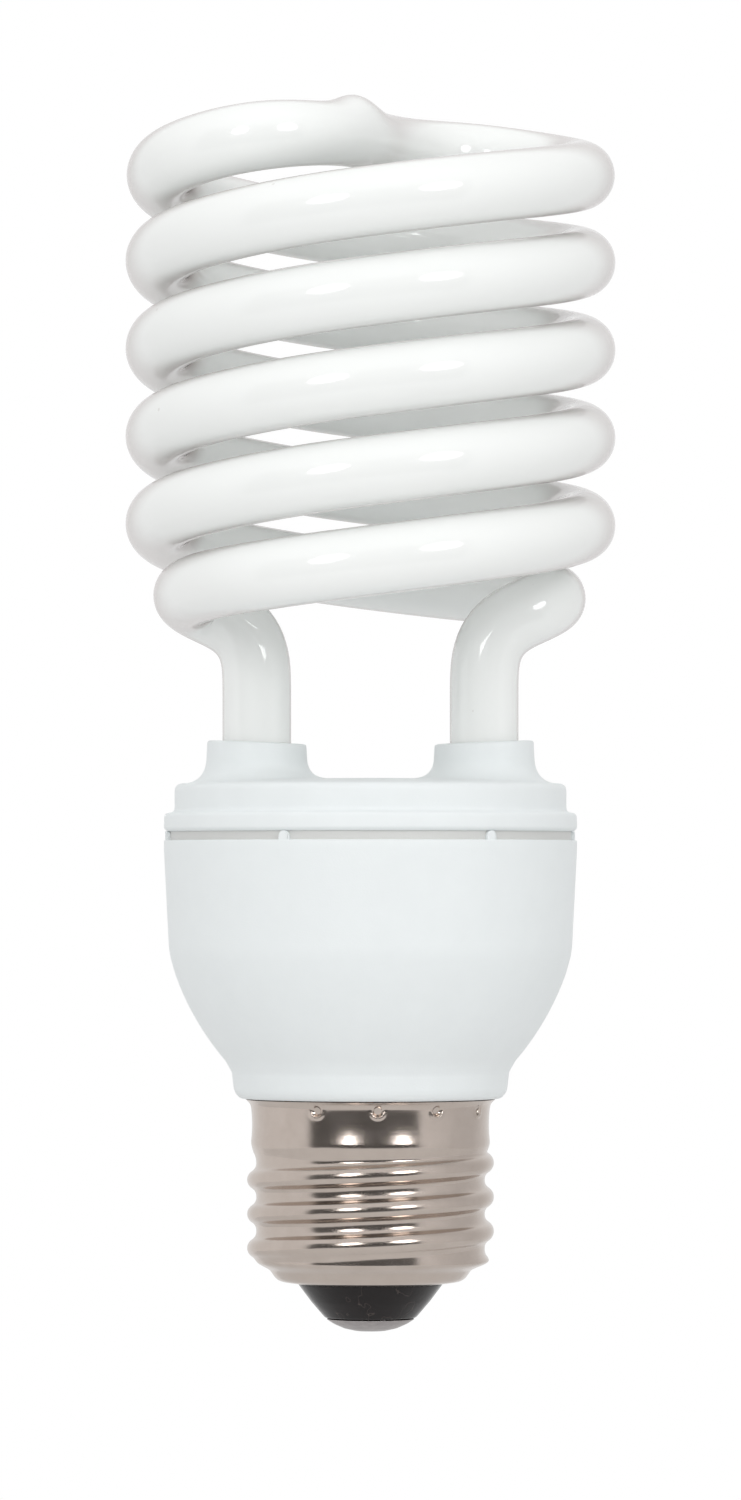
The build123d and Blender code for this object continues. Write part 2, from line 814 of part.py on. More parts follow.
drum_part = standing_part(drum_x, drum_y, 0, -drum_loop, drum_radius, drum_length)
with BuildPart() as filter_choke:
    add(drum_part)
    with BuildSketch(Plane.XY.offset(board_bottom - part_gap - (drum_length - drum_waist_length) / 2)):
        with Locations((drum_x, drum_y)):
            Circle(drum_radius + seat_gap)
            Circle(drum_waist_radius, mode=Mode.SUBTRACT)
    extrude(amount=-drum_waist_length, mode=Mode.SUBTRACT)
filter_choke.part.label = "filter_choke"

# Dipped capacitors and the thermistor disc
resonant_box = box_part(*resonant_place, *resonant_size, resonant_spread, dip_round)
with BuildPart() as resonant_capacitor:
    add(resonant_box)
resonant_capacitor.part.label = "resonant_capacitor"

coupling_box = box_part(*coupling_place, *coupling_size, coupling_spread, dip_round)
with BuildPart() as coupling_capacitor:
    add(coupling_box)
coupling_capacitor.part.label = "coupling_capacitor"

disc_leads = [
    lead(disc_x, disc_y + side * disc_radius / 2, board_bottom - disc_hang - disc_radius / 2)
    for side in (-1, 1)
]
with BuildPart() as start_thermistor:
    with BuildSketch(Plane.YZ.offset(disc_x - disc_thickness / 2)):
        with Locations((disc_y, board_bottom - disc_hang - disc_radius)):
            Circle(disc_radius)
    extrude(amount=disc_thickness)
    add(disc_leads)
start_thermistor.part.label = "start_thermistor"

# Fusible resistor in the neck, in its shrunk sleeve, with the live wire above and below it
fuse_bottom = lip_level + insulator_cup_height + fuse_rise
fuse_top = fuse_bottom + fuse_length
with BuildPart() as fusible_resistor:
    with BuildSketch(Plane.XY.offset(fuse_bottom)):
        with Locations((0, fuse_y)):
            Circle(fuse_radius)
    extrude(amount=fuse_length)
    fillet(fusible_resistor.edges().filter_by(GeomType.CIRCLE), end_round)
fusible_resistor.part.label = "fusible_resistor"

with BuildPart() as fuse_sleeve:
    with BuildSketch(Plane.XY.offset(fuse_bottom - sleeve_overhang)):
        with Locations((0, fuse_y)):
            Circle(fuse_radius + seat_gap + sleeve_wall)
            Circle(fuse_radius + seat_gap, mode=Mode.SUBTRACT)
    extrude(amount=fuse_length + 2 * sleeve_overhang)
fuse_sleeve.part.label = "fuse_sleeve"

with BuildLine() as lower_route:
    FilletPolyline(
        (0, 0, solder_depth + seat_gap),
        (0, 0, fuse_bottom - live_drop),
        (0, fuse_y, fuse_bottom - wire_bend),
        (0, fuse_y, fuse_bottom - seat_gap),
        radius=wire_bend,
    )
with BuildLine() as upper_route:
    FilletPolyline(
        (0, fuse_y, fuse_top + seat_gap),
        (0, fuse_y, fuse_top + 2 * wire_bend),
        (live_x, live_y, fuse_top + live_climb),
        (live_x, live_y, lead_top),
        radius=wire_bend,
    )
lead_places.append((live_x, live_y))
lower_live = round_rod(lower_route.wire(), lead_radius)
upper_live = round_rod(upper_route.wire(), lead_radius)
with BuildPart() as live_wire:
    add(lower_live)
    add(upper_live)
live_wire.part.label = "live_wire"

# Neutral wire: down inside the neck, round its lower edge and up the slot, against the shell
slot_place = neck_radius - slot_depth + lead_radius + seat_gap
neck_place = neck_bore - lead_radius - seat_gap
turn_level = neck_bottom - lead_radius - seat_gap
with BuildLine() as neutral_route:
    FilletPolyline(
        place_at(slot_place, slot_angle, neck_bottom + slot_height - seat_gap),
        place_at(slot_place, slot_angle, turn_level),
        place_at(neck_place, slot_angle, turn_level),
        place_at(neck_place, slot_angle, lead_top),
        radius=slot_bend,
    )
neutral_end = neutral_route.wire() @ 1
lead_places.append((neutral_end.X, neutral_end.Y))
neutral_rod = round_rod(neutral_route.wire(), lead_radius)
with BuildPart() as neutral_wire:
    add(neutral_rod)
neutral_wire.part.label = "neutral_wire"

# Wrap pins on the board, and the four leads of the tube that are wound on them
pin_places = [(x, y) for x in (-pin_x, pin_x) for y in (-pin_y, pin_y)]
lead_places.extend(pin_places)
with BuildPart() as wrap_pins:
    with BuildSketch(Plane.XY.offset(board_bottom)):
        with Locations(*pin_places):
            Circle(lead_radius)
    extrude(amount=board_thickness + pin_height)
wrap_pins.part.label = "wrap_pins"


def tube_lead(pin):
    """A lead from the end of a leg down and across to its pin, ending in a close winding round it."""
    side_x = 1 if pin[0] > 0 else -1
    side_y = 1 if pin[1] > 0 else -1
    start = Vector(side_x * leg_place, side_y * tube_lead_spread / 2, leg_bottom - seat_gap / 2)
    corner = start - Vector(0, 0, tube_lead_drop)
    pin_point = Vector(pin[0], pin[1], corner.Z)
    way = (pin_point - corner).normalized()
    with BuildLine() as route:
        FilletPolyline(start, corner, pin_point - way * (lead_radius + wrap_wall / 2), radius=lead_bend)
    rod = round_rod(route.wire(), lead_radius)
    with BuildPart() as lead_and_winding:
        with BuildSketch(Plane.XY.offset(corner.Z - wrap_height / 2)):
            with Locations(pin):
                Circle(lead_radius + seat_gap / 2 + wrap_wall)
        extrude(amount=wrap_height)
        add(rod)
        with BuildSketch(Plane.XY.offset(corner.Z - wrap_height)):
            with Locations(pin):
                Circle(lead_radius + seat_gap / 2)
        extrude(amount=2 * wrap_height, mode=Mode.SUBTRACT)
    return lead_and_winding.part


tube_lead_parts = [tube_lead(pin) for pin in pin_places]
with BuildPart() as tube_leads:
    add(tube_lead_parts)
tube_leads.part.label = "tube_leads"

# Circuit board with a hole for every lead, and the solder joints on its upper side
with BuildPart() as circuit_board:
    with BuildSketch(Plane.XY.offset(board_bottom)):
        Circle(board_radius)
        with Locations(*lead_places):
            Circle(lead_radius + lead_gap, mode=Mode.SUBTRACT)
    extrude(amount=board_thickness)
circuit_board.part.label = "circuit_board"

with BuildPart() as solder_joints:
    with BuildSketch(Plane.XY.offset(board_top)):
        with Locations(*lead_places):
            Circle(solder_radius)
    extrude(amount=joint_height, taper=solder_taper)
    with BuildSketch(Plane.XY.offset(board_top)):
        with Locations(*lead_places):
            Circle(lead_radius + lead_gap / 2)
    extrude(amount=joint_height, mode=Mode.SUBTRACT)
solder_joints.part.label = "solder_joints"

pieces = [
    glass_tube, tube_cement, top_cap, ballast_housing,
    screw_shell, base_insulator, centre_contact, contact_solder,
    smoothing_capacitor, capacitor_bung, choke_core, choke_bobbin, choke_winding, choke_pins,
    transformer_ring, transformer_windings, switching_transistors, rectifier_diodes, trigger_diac,
    resistors, filter_choke, resonant_capacitor, coupling_capacitor, start_thermistor,
    fusible_resistor, fuse_sleeve, live_wire, neutral_wire, wrap_pins, tube_leads,
    circuit_board, solder_joints,
]
os.makedirs("parts", exist_ok=True)
for piece in pieces:
    export_step(piece.part, f"parts/{piece.part.label}.step")
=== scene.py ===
# %% [markdown]
# # A spiral fluorescent lamp
# The lamp is a coiled glass tube on a white plastic ballast housing with a metal screw base. The solids of
# the part are loaded first. Each surface that shows is then either given a better material, or replaced by a
# smoother surface worked out with numpy. Lengths on the lamp are millimetres, and MM makes them metres.

# %% Load the solids
import math

import bpy
import numpy as np
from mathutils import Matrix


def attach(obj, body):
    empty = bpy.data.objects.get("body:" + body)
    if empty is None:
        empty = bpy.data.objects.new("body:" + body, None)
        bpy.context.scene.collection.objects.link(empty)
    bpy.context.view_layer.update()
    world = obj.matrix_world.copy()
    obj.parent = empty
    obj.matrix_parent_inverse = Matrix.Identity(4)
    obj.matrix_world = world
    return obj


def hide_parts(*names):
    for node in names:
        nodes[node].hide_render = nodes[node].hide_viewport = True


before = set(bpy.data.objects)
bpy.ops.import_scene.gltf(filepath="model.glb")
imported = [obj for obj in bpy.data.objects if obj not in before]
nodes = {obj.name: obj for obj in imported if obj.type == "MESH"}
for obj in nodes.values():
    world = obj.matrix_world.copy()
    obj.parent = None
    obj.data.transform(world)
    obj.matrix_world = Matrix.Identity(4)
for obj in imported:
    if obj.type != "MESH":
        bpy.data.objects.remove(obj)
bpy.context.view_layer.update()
MM = 0.001

# %% [markdown]
# Every new piece is a stack of rings of points: a tube, a turned part and a rolled shell are all that. One
# helper makes the mesh, so each piece only has to say where its points are. Blender could also spin or sweep
# a curve, but a grid from numpy gives full control of the radius at each place.

# %% A mesh from a stack of rings
def skin(name, rings, ends="closed", crease=None):
    """A mesh over an array of rings, points in millimetres: each point joins the next one in its ring and the
    same one in the next ring. Ends "closed" adds a fan to the middle of the first and the last ring, and
    "joined" joins the last ring to the first. Faces are turned outwards by the sign of the volume, which is
    the sum over the faces of a corner times the cross product of the two next corners, over six."""
    count, around = rings.shape[:2]
    rows = np.arange(count if ends == "joined" else count - 1)
    i, j = np.meshgrid(rows, np.arange(around), indexing="ij")
    i_next, j_next = (i + 1) % count, (j + 1) % around
    quads = np.stack(
        [i * around + j, i * around + j_next, i_next * around + j_next, i_next * around + j], -1
    ).reshape(-1, 4)
    points = rings.reshape(-1, 3)
    faces = quads.tolist()
    if ends == "closed":
        first, last = len(points), len(points) + 1
        points = np.vstack([points, rings[0].mean(0), rings[-1].mean(0)])
        j = np.arange(around)
        j_next = (j + 1) % around
        faces += np.stack([np.full(around, first), j_next, j], -1).tolist()
        end = (count - 1) * around
        faces += np.stack([np.full(around, last), end + j, end + j_next], -1).tolist()
    a, b, c, d = (points[quads[:, k]] for k in range(4))
    volume = (np.cross(a, b) * c).sum() + (np.cross(a, c) * d).sum()
    mesh = bpy.data.meshes.new(name)
    mesh.from_pydata((points * MM).tolist(), [], faces)
    if volume < 0:
        mesh.flip_normals()
    mesh.shade_smooth()
    if crease is not None:
        mesh.set_sharp_from_angle(angle=math.radians(crease))
    piece = bpy.data.objects.new(name, mesh)
    bpy.context.scene.collection.objects.link(piece)
    print(name, "has", len(mesh.vertices), "points and", len(faces), "faces")
    return piece


# %% [markdown]
# The shader maths is written as sums. A small class stands for one socket, so that `1 - mask * 0.3` adds its
# own Math nodes, and any other node comes from its one method.

# %% Sockets that can be used in sums
class Wire:
    """One socket of a node tree. Operators on it add Math nodes, and node() adds a node of any kind."""

    def __init__(self, tree, socket=None):
        self.tree = tree
        self.socket = socket

    def put(self, socket, value):
        """Links the value to the socket if it is a Wire, and otherwise writes it there."""
        if isinstance(value, Wire):
            self.tree.links.new(value.socket, socket)
        else:
            socket.default_value = value

    def node(self, kind, settings=None, output=None, **inputs):
        """A node of a kind, with its settings first and then the values or links of its sockets."""
        made = self.tree.nodes.new("ShaderNode" + kind)
        for name, value in (settings or {}).items():
            setattr(made, name, value)
        for name, value in inputs.items():
            wanted = name.replace("_", " ")
            socket = [s for s in made.inputs if s.name == wanted and not s.is_unavailable][0]
            self.put(socket, value)
        outputs = [s for s in made.outputs if not s.is_unavailable and output in (None, s.name)]
        return Wire(self.tree, outputs[0])

    def maths(self, operation, *values):
        """A Math node, whose two sockets share one name."""
        made = self.tree.nodes.new("ShaderNodeMath")
        made.operation = operation
        for socket, value in zip(made.inputs, values):
            self.put(socket, value)
        return Wire(self.tree, made.outputs[0])

    def __add__(self, other):
        return self.maths("ADD", self, other)

    def __sub__(self, other):
        return self.maths("SUBTRACT", self, other)

    def __rsub__(self, other):
        return self.maths("SUBTRACT", other, self)

    def __mul__(self, other):
        return self.maths("MULTIPLY", self, other)

    def __gt__(self, other):
        return self.maths("GREATER_THAN", self, other)

    def __lt__(self, other):
        return self.maths("LESS_THAN", self, other)

    __radd__ = __add__


# %% [markdown]
# A material is written as a recipe: a function that gets the place on the piece and answers with the value of
# each socket. A few small helpers for noise, colour and bumps keep the recipes short.

# %% Helpers for the materials
def make_material(name, recipe):
    """A material whose recipe gets the place on the piece in millimetres and names the shader's sockets."""
    material = bpy.data.materials.new(name)
    material.use_nodes = True
    tree = material.node_tree
    shader = tree.nodes["Principled BSDF"]
    place = Wire(tree).node("TexCoord", output="Object")
    place = place.node("VectorMath", {"operation": "SCALE"}, Vector=place, Scale=1 / MM)
    for socket, value in recipe(place).items():
        place.put(shader.inputs[socket], value)
    print(name, "has", len(tree.nodes), "shader nodes")
    return material


def noise(place, size, detail=2.0, rough=0.5):
    """Soft clouds from 0 to 1 whose grain is about size millimetres."""
    return place.node("TexNoise", Vector=place, Scale=1.0 / size, Detail=detail, Roughness=rough)


def blend(place, share, first, second):
    """A colour that goes from the first to the second as share goes from 0 to 1."""
    return place.node(
        "Mix", {"data_type": "RGBA"}, Factor=share,
        A=(*first, 1.0) if isinstance(first, tuple) else first,
        B=(*second, 1.0) if isinstance(second, tuple) else second,
    )


def bumps(place, height, depth):
    """A normal from a height of 0 to 1 that stands depth millimetres proud at most."""
    return place.node("Bump", Strength=1.0, Distance=depth * MM, Height=height)


def stretch(place, x, y, z):
    """The place with each axis multiplied, so that a pattern gets longer where the number is small."""
    return place.node("Mapping", Vector=place, Scale=(x, y, z))


def rising(value, low, high):
    """Goes from 0 to 1 as the value goes from low to high, as 3t^2 - 2t^3."""
    return value.node(
        "MapRange", {"interpolation_type": "SMOOTHSTEP"}, Value=value, From_Min=low, From_Max=high
    )


# %% [markdown]
# ## The glass tube
# The real tube is bent hot from one straight piece of glass: up a leg, out through an elbow, round the coil,
# over a bridge with the sealed pumping tip, and the same way down. The line past a few corners is a smooth
# spline, and rings are set square to it. A curve with a bevel would do too, but its radius could not narrow
# at the bridge or swell into the tip as the real glass does.

# %% The corners of the tube
TUBE_RADIUS = 3.65
LEG_PLACE = 12.07
LEG_BOTTOM = 51.1
LEG_STRAIGHT = 66.2
LEG_CORNER = 74.55
ELBOW_LEVEL = 77.55
ELBOW_REACH = 7.9
ELBOW_TURN = 1.2
ELBOW_BACK = 9.6
COIL_RADIUS = 22.4
COIL_PITCH = 18.6
COIL_BOTTOM = 79.65
COIL_START = 65.0
COIL_STEPS = 18
COIL_STEP = 45.0
BRIDGE_RISE = 4.9
BRIDGE_REACH = (1.05, 0.87, 0.46)
BRIDGE_TURN = (41.0, 73.0, 98.0)
BRIDGE_CLIMB = (0.42, 0.87, 1.0)


def around_axis(radius, degrees, level):
    """Points at a radius and an angle about the lamp's axis."""
    turn = np.radians(degrees)
    return np.stack([radius * np.cos(turn), radius * np.sin(turn), level + 0 * turn], -1)


def tube_corners():
    """The corners of one strand: the leg, the elbow, the coil at equal steps of angle and the bridge."""
    steps = np.arange(COIL_STEPS + 1) * COIL_STEP
    coil_corner = COIL_RADIUS / math.cos(math.radians(COIL_STEP / 2))
    coil = around_axis(coil_corner, COIL_START + steps, COIL_BOTTOM + COIL_PITCH * steps / 360)
    end = COIL_START + steps[-1]
    bridge = around_axis(
        COIL_RADIUS * np.array(BRIDGE_REACH),
        end + np.array(BRIDGE_TURN),
        coil[-1, 2] + BRIDGE_RISE * np.array(BRIDGE_CLIMB),
    )
    foot = np.array([
        [LEG_PLACE, 0, LEG_BOTTOM],
        [LEG_PLACE, 0, LEG_STRAIGHT],
        [LEG_PLACE, 0, LEG_CORNER],
        [LEG_PLACE + ELBOW_REACH, 0, ELBOW_LEVEL],
        [LEG_PLACE + ELBOW_REACH - ELBOW_TURN, ELBOW_BACK, (ELBOW_LEVEL + COIL_BOTTOM) / 2],
    ])
    return np.vstack([foot, coil, bridge])


strand = tube_corners()
print("one strand has", len(strand), "corners")

# %% [markdown]
# The other strand is the same one turned half round the axis. The two are joined end to end at the bridge, so
# the whole tube is one line.

# %% The line of the tube
BEND_POINTS = 60
LINE_SPACING = 0.6
LINE_SOFTNESS = 1.5


def flowing_line(corners, spacing, softness):
    """A quadratic spline: between the middles of two runs the point is (1-t)^2 of the first middle, 2t(1-t) of
    the corner and t^2 of the second middle. It is then set out at equal spacing along its length, and each
    point becomes the average of its neighbours under a bell curve, which evens out the bends."""
    middles = (corners[:-1] + corners[1:]) / 2
    t = np.linspace(0, 1, BEND_POINTS, endpoint=False)[None, :, None]
    start, stop = middles[:-1, None], middles[1:, None]
    bends = (1 - t) ** 2 * start + 2 * t * (1 - t) * corners[1:-1, None] + t**2 * stop
    dense = np.vstack([corners[:1], bends.reshape(-1, 3), middles[-1:], corners[-1:]])
    along = np.concatenate([[0], np.linalg.norm(np.diff(dense, axis=0), axis=1).cumsum()])
    even = np.linspace(0, along[-1], int(along[-1] / spacing) + 1)
    line = np.stack([np.interp(even, along, dense[:, k]) for k in range(3)], -1)
    reach = int(3 * softness / spacing)
    bell = np.exp(-0.5 * (np.arange(-reach, reach + 1) * spacing / softness) ** 2)
    bell /= bell.sum()
    steps = np.arange(reach, 0, -1)[:, None]
    before = line[0] - steps * (line[1] - line[0])
    after = line[-1] + steps[::-1] * (line[-1] - line[-2])
    padded = np.vstack([before, line, after])
    return np.stack([np.convolve(padded[:, k], bell, mode="valid") for k in range(3)], -1)


corners = np.vstack([strand, (strand * [-1, -1, 1])[::-1]])
tube_line = flowing_line(corners, LINE_SPACING, LINE_SOFTNESS)
tube_length = np.linalg.norm(np.diff(tube_line, axis=0), axis=1).sum()
print("the tube is", round(tube_length, 1), "mm long")

# %% [markdown]
# Glass gets thinner where it is drawn over the tight bridge, and the two ends, which the cap hides, are
# rounded off. So the radius is worked out anew for each ring.

# %% The rings of the tube, narrow at the bridge
TUBE_SIDES = 56
NARROW_RADIUS = 3.25
NARROW_REACH = 15
END_ROUND = 1.0
TURNOVER = 6


def tube_rings(line, length):
    """Rings square to the line. The radius is that of the tube, narrowed under a bell curve at the bridge and
    rounded off at both ends as a quarter circle. The side of each ring is the cross product of the line's
    direction and a reference, which is straight up on the coil, points to the axis on the legs and goes from
    one to the other over the last TURNOVER of a leg."""
    way = np.gradient(line, axis=0)
    way /= np.linalg.norm(way, axis=1, keepdims=True)
    on_coil = np.clip((line[:, 2] - LEG_CORNER + TURNOVER) / TURNOVER, 0, 1)[:, None]
    towards = np.stack([-np.sign(line[:, 0]), 0 * line[:, 0], 0 * line[:, 0]], -1)
    reference = on_coil * np.array([0, 0, 1.0]) + (1 - on_coil) * towards
    side = np.cross(way, reference)
    side /= np.linalg.norm(side, axis=1, keepdims=True)
    up = np.cross(side, way)
    along = np.linspace(0, length, len(line))
    from_middle = np.abs(along - length / 2)
    narrowing = np.exp(-((from_middle / NARROW_REACH) ** 4))
    radius = TUBE_RADIUS - (TUBE_RADIUS - NARROW_RADIUS) * narrowing
    from_end = np.clip(np.minimum(along, length - along) / END_ROUND, 0, 1)
    radius = radius - END_ROUND * (1 - np.sqrt(1 - (1 - from_end) ** 2))
    turn = np.linspace(0, 2 * np.pi, TUBE_SIDES, endpoint=False)[None, :, None]
    outward = np.cos(turn) * side[:, None] + np.sin(turn) * up[:, None]
    return line[:, None] + radius[:, None, None] * outward, outward


rings, outward = tube_rings(tube_line, tube_length)
print("the tube has", rings.shape[0], "rings of", rings.shape[1], "points")

# %% [markdown]
# The air was drawn out of the tube through a thin stem of glass that was then melted off, and the drop that
# is left is the pumping tip. It could be a cone joined to the tube, but the real glass flows from one into
# the other, so the tube's own points are lifted instead.

# %% The pumping tip
TIP = np.array([-1.7, -5.0])
TIP_LEVEL = 130.8
TIP_REACH = 3.7
TIP_ZONE = 12
TIP_CORE = 0.6
TIP_SLOPE = 1.5


def with_tip(points, outward):
    """The tip: each upper point near its axis rises by a height that falls off as a bell curve of its
    distance. Points that look down stay, and the steeper a point looks up, the more of its share it rises."""
    away = np.linalg.norm(points[..., :2] - TIP, axis=-1)
    near = points[..., 2] > TIP_LEVEL - TIP_ZONE
    crown = points[near & (away < TIP_CORE), 2].max()
    lift = (TIP_LEVEL - crown) * np.exp(-((away / TIP_REACH) ** 2))
    lifted = points.copy()
    lifted[..., 2] += np.where(near, lift * np.clip(outward[..., 2] * TIP_SLOPE, 0, 1), 0)
    print("the tip stands", round(float(TIP_LEVEL - crown), 2), "mm above the tube")
    return lifted


glass_tube = skin("coiled_glass_tube", with_tip(rings, outward))

# %% [markdown]
# The glass is coated white on its inside, so the white is seen through a clear wall. A clear coat over a matt
# white gives the gloss, and the white below it has little gloss of its own, so that the lamps show crisply.
# Where the wall is seen edge on, one looks through more clear glass and less coating, so the rim looks a darker
# warm grey. That rim is painted shade, which Layer Weight mixes into the white's colour as the surface turns
# away. Small specks and slow clouds are what a real coating shows.

# %% The coated glass
def coated_glass(place):
    """White under clear glass: clouds vary the white, the hearts of the cells are specks, and the rim, where
    the surface turns away, gets a painted warm grey shade."""
    clouds = noise(place, 9.0, 3.0)
    grain = noise(place, 0.6, 2.0)
    cells = place.node("TexVoronoi", {"feature": "F1"}, output="Distance", Vector=place, Scale=0.16)
    specks = cells < 0.03
    white = blend(place, clouds, (0.905, 0.925, 0.912), (0.925, 0.945, 0.932))
    speckled = blend(place, specks * 0.25, white, (0.45, 0.38, 0.34))
    # painted shade: the rim's warm grey is mixed into the base colour where the surface turns away from the
    # view
    painted_rim_shade = rising(place.node("LayerWeight", output="Facing", Blend=0.5), 0.58, 0.95)
    return {
        "Base Color": blend(place, painted_rim_shade * 0.9, speckled, (0.44, 0.38, 0.365)),
        "Roughness": 0.32 + grain * 0.06,
        "Specular IOR Level": 0.15,
        "Coat Weight": 1.0,
        "Coat Roughness": 0.025,
        "Coat Tint": (0.985, 0.98, 0.98, 1.0),
        "Normal": bumps(place, noise(place, 5.0, 1.0), 0.012),
    }


glass_tube.data.materials.append(make_material("coated_glass", coated_glass))
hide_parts("glass_tube")
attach(glass_tube, "root")

# %% [markdown]
# ## The screw shell
# The shell is one thin sheet that was rolled between two shaped wheels, so its thread is a smooth wave, and
# small punches below its flared edge hold it to the plastic. A profile turned round the axis gives the
# sheet, and a wave along a helix is added to its radius. Modelling the thread as a separate coil would leave
# sharp corners where the real sheet flows.

# %% Profiles and how they are carried round
SHORT_RUN_SHARE = 0.45


def soft_step(value, low, high):
    """Goes from 0 at low to 1 at high as 3t^2 - 2t^3."""
    t = np.clip((value - low) / (high - low), 0, 1)
    return t * t * (3 - 2 * t)


def rounded_path(corners, cut, steps=6):
    """A path of straight runs whose corners are each replaced by a parabola that starts and ends the cut
    length away from it, or less where a run is short."""
    corners = np.asarray(corners, float)
    before, here, after = corners[:-2], corners[1:-1], corners[2:]
    back, on = before - here, after - here
    back_length = np.linalg.norm(back, axis=1, keepdims=True)
    on_length = np.linalg.norm(on, axis=1, keepdims=True)
    reach = np.minimum(cut, np.minimum(back_length, on_length) * SHORT_RUN_SHARE)
    start, stop = here + back / back_length * reach, here + on / on_length * reach
    t = np.linspace(0, 1, steps)[None, :, None]
    bends = (1 - t) ** 2 * start[:, None] + 2 * t * (1 - t) * here[:, None] + t**2 * stop[:, None]
    return np.vstack([corners[:1], bends.reshape(-1, corners.shape[1]), corners[-1:]])


def spaced(path, spacing):
    """The path set out at equal spacing along its length."""
    along = np.concatenate([[0], np.linalg.norm(np.diff(path, axis=0), axis=1).cumsum()])
    even = np.linspace(0, along[-1], max(2, int(along[-1] / spacing) + 1))
    return np.stack([np.interp(even, along, path[:, k]) for k in range(path.shape[1])], -1)


def carried_round(path, around):
    """Rings of a path of radius and height carried round the axis, at equal angles."""
    angle = np.linspace(0, 2 * np.pi, around, endpoint=False)[None, :]
    radius, level = path[:, :1], path[:, 1:]
    return np.stack([radius * np.cos(angle), radius * np.sin(angle), level + 0 * angle], -1)


# %% [markdown]
# The thread of a screw base is two arcs, one at the crest and one at the root, that repeat with the pitch. It
# fades out at both ends, where the wheels that roll it leave the sheet.

# %% The wave of the thread
THREAD_PITCH = 3.629
THREAD_ROOT = 12.1
THREAD_CREST = 13.1
THREAD_MIDDLE = 14.25
THREAD_FIRST = (-800.0, -650.0)
THREAD_LAST = (470.0, 600.0)


def thread_wave(turn, level):
    """How far the thread stands out, from 0 to 1. Crest and root are arcs of one radius that meet a quarter of
    the pitch from the crest, where each has taken half of the depth. The crest rises one pitch a turn, and
    fades out over the two ends of its helix."""
    degrees = np.degrees(turn)
    helix_angle = 360 * (level - THREAD_MIDDLE) / THREAD_PITCH
    crest_angle = degrees + 360 * np.round((helix_angle - degrees) / 360)
    from_crest = np.abs(helix_angle - crest_angle) / 360 * THREAD_PITCH
    from_root = THREAD_PITCH / 2 - from_crest
    depth = THREAD_CREST - THREAD_ROOT
    arc = ((THREAD_PITCH / 2) ** 2 / depth + depth) / 4
    quarter = THREAD_PITCH / 4
    crest = 1 - (arc - np.sqrt(arc**2 - np.clip(from_crest, 0, quarter) ** 2)) / depth
    root = (arc - np.sqrt(arc**2 - np.clip(from_root, 0, quarter) ** 2)) / depth
    fade = soft_step(crest_angle, *THREAD_FIRST) * (1 - soft_step(crest_angle, *THREAD_LAST))
    return fade * np.where(from_crest < quarter, crest, root)


# %% [markdown]
# The punches press small dents of the sheet into the plastic behind it. The metal that a dent pushes aside
# stands as a lip below it, which is what catches the light.

# %% The punches
PUNCH_STEP = 30.0
PUNCH_START = 3.5 - 90.0
PUNCH_GROUP = 18.5 - 90.0
PUNCH_LEVEL = 23.6
SKIRT_RADIUS = 12.65
PIT_RADIUS = 0.45
PIT_DEPTH = 0.4
PIT_LIP_RADIUS = 0.66
PIT_LIP_WIDTH = 0.17
PIT_LIP_HEIGHT = 0.15


def punch_depth(turn, level):
    """Each punch is a small pit, deepest at its upper side, with a raised lip below it: a bell curve less a
    ring-shaped bell curve that only stands where the place is below the middle of the pit. They come in two
    opposite groups of four: a punch is there if its turn is within two steps of the middle of a group."""
    step = math.radians(PUNCH_STEP)
    nearest = np.round((turn - math.radians(PUNCH_START)) / step) * step + math.radians(PUNCH_START)
    from_group = (nearest - math.radians(PUNCH_GROUP) + np.pi / 2) % np.pi - np.pi / 2
    across, above = (turn - nearest) * SKIRT_RADIUS, level - PUNCH_LEVEL
    distance = np.hypot(across, above)
    pit = np.exp(-((distance / PIT_RADIUS) ** 4)) * PIT_DEPTH
    ring = np.exp(-(((distance - PIT_LIP_RADIUS) / PIT_LIP_WIDTH) ** 2))
    lip = ring * soft_step(-above, -0.3, 0.35) * PIT_LIP_HEIGHT
    return (pit - lip) * (np.abs(from_group) < 2 * step)


# %% [markdown]
# The wave only replaces the wall where it stands further out than the wall. A plain larger-of-two would leave
# a crease, so half of the difference plus the root of its square and a small number is added: that is the
# larger of the two with a soft corner.

# %% The sheet of the shell
SHELL_SIDES = 420
SHELL_FOLD = 0.6
OUTSIDE_SPACING = 0.125
INSIDE_SPACING = 1.6
THREAD_START_ZONE = (6.4, 7.6)
THREAD_END_ZONE = (20.0, 21.0)
WAVE_SOFTNESS = 0.004
outside = spaced(rounded_path([
    (7.8, 5.05), (9.9, 5.35), (11.05, 7.0), (12.1, 7.6), (12.1, 18.3), (12.70, 19.9),
    (12.62, 20.7), (12.57, 21.6), (12.58, 22.5), (12.64, 23.4), (12.74, 24.1), (13.24, 24.6),
], SHELL_FOLD), OUTSIDE_SPACING)
inside = spaced(np.array([
    (12.9, 24.6), (12.3, 23.8), (11.75, 18.5), (11.75, 8.0), (10.6, 7.4), (9.7, 5.7), (7.8, 5.4),
]), INSIDE_SPACING)
turn = np.linspace(0, 2 * np.pi, SHELL_SIDES, endpoint=False)[None, :]
radius, level = outside[:, :1], outside[:, 1:] + 0 * turn
thread = THREAD_ROOT + (THREAD_CREST - THREAD_ROOT) * thread_wave(turn, level)
zone = soft_step(level, *THREAD_START_ZONE) * (1 - soft_step(level, *THREAD_END_ZONE))
difference = (thread - radius) * zone
radius = radius + 0.5 * (difference + np.sqrt(difference**2 + WAVE_SOFTNESS * zone))
radius = radius - punch_depth(turn, level)
outer_rings = np.stack([radius * np.cos(turn), radius * np.sin(turn), level], -1)
inner_rings = carried_round(inside, SHELL_SIDES)
screw_shell = skin("rolled_screw_shell", np.vstack([outer_rings, inner_rings]), ends="joined", crease=50)

# %% [markdown]
# The shell is brass with bright nickel on it, which looks warm grey. Rolling leaves faint lines round it, so
# the roughness and a very shallow bump use noise that is stretched round the axis. A few paler and darker
# clouds stand for the handling marks that the photo's shell shows.

